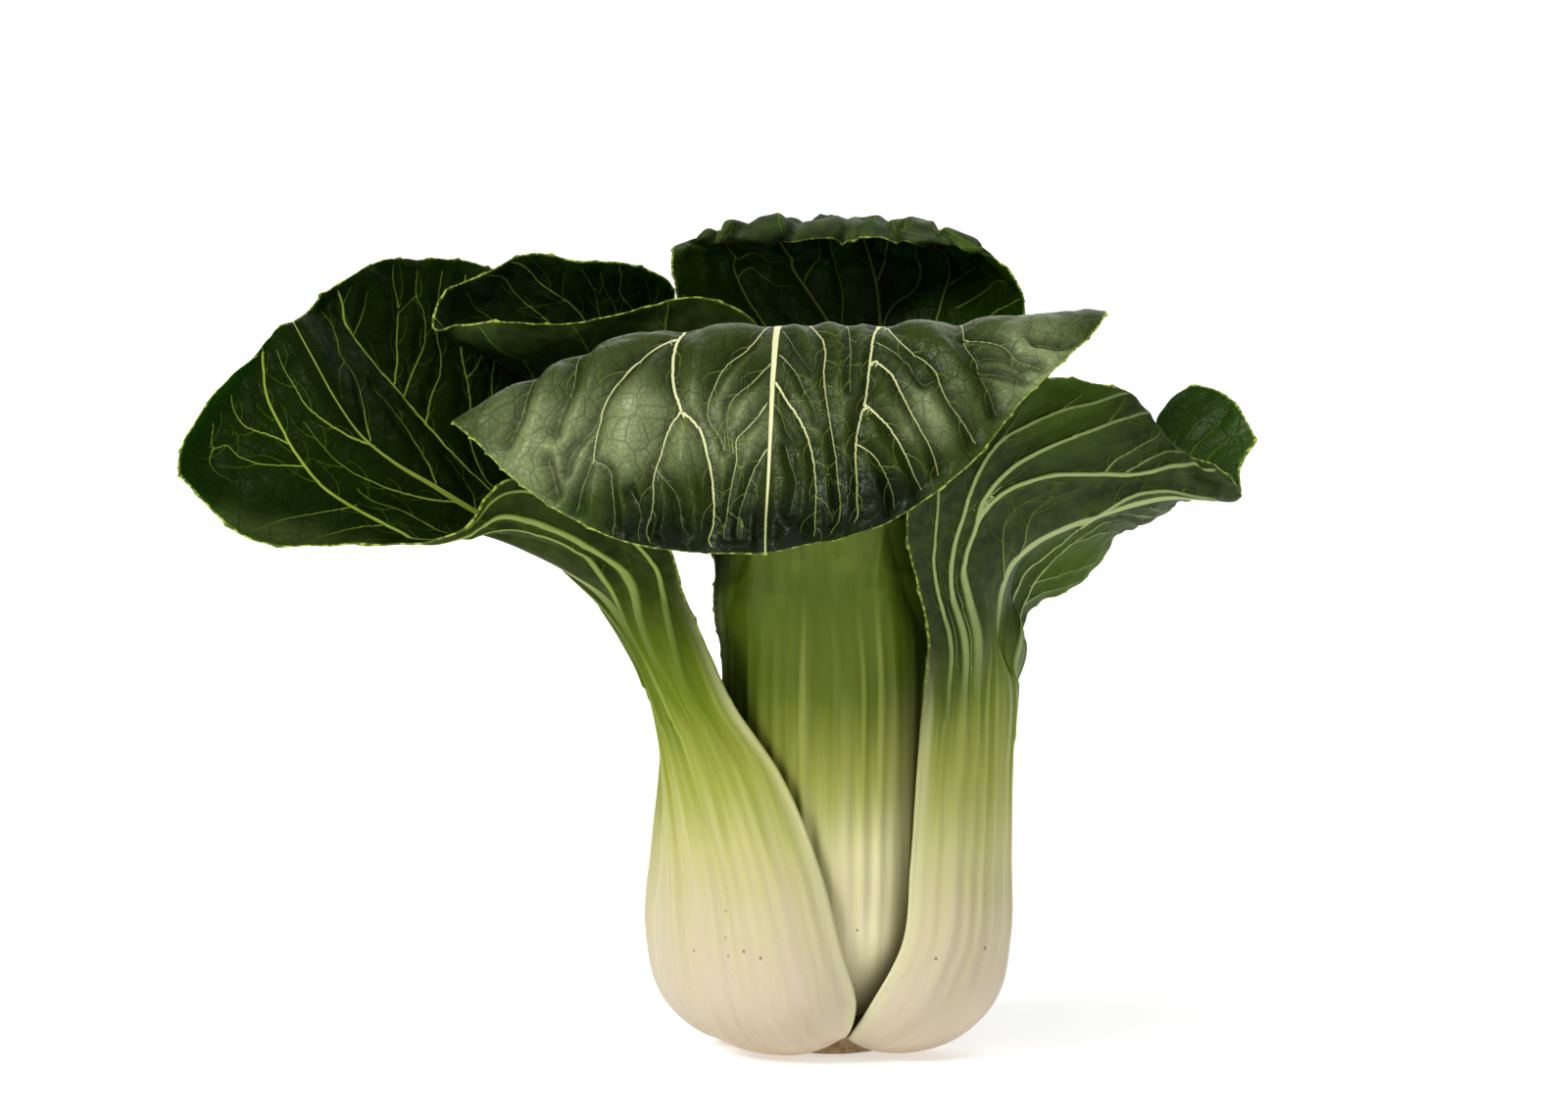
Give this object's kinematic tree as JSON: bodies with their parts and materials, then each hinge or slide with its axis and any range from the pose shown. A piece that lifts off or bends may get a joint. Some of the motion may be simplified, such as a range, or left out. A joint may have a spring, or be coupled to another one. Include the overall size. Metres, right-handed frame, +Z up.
{
  "type": "bok choy",
  "caption": "Head of bok choy standing on its cut base, with pale thick stalks that wrap round each other and broad dark green blades that fold outward.",
  "frame": {"origin": "centre of the flat cut base, on the surface the head stands on", "axes": "+Z up along the head's axis; +X to the right and +Y away from the viewer of the pictured side"},
  "size_m": [0.2153, 0.1943, 0.1705],
  "materials": {
    "stem_butt": "satin",
    "leaf_left": "satin",
    "leaf_front": "satin",
    "leaf_right": "satin",
    "leaf_upper_left": "satin",
    "leaf_back_tall": "satin",
    "leaf_back_outer": "satin",
    "leaf_right_rear": "satin",
    "leaf_left_rear": "satin",
    "leaf_inner_right": "satin",
    "leaf_inner_left": "satin",
    "heart_leaf_tall": "satin",
    "heart_leaf_middle": "satin",
    "heart_leaf_short": "satin"
  },
  "bodies": {
    "root": {"stem_butt": "stem_butt", "leaf_left": "leaf_left", "leaf_front": "leaf_front", "leaf_right": "leaf_right", "leaf_upper_left": "leaf_upper_left", "leaf_back_tall": "leaf_back_tall", "leaf_back_outer": "leaf_back_outer", "leaf_right_rear": "leaf_right_rear", "leaf_left_rear": "leaf_left_rear", "leaf_inner_right": "leaf_inner_right", "leaf_inner_left": "leaf_inner_left", "heart_leaf_tall": "heart_leaf_tall", "heart_leaf_middle": "heart_leaf_middle", "heart_leaf_short": "heart_leaf_short"}
  },
  "joints": []
}
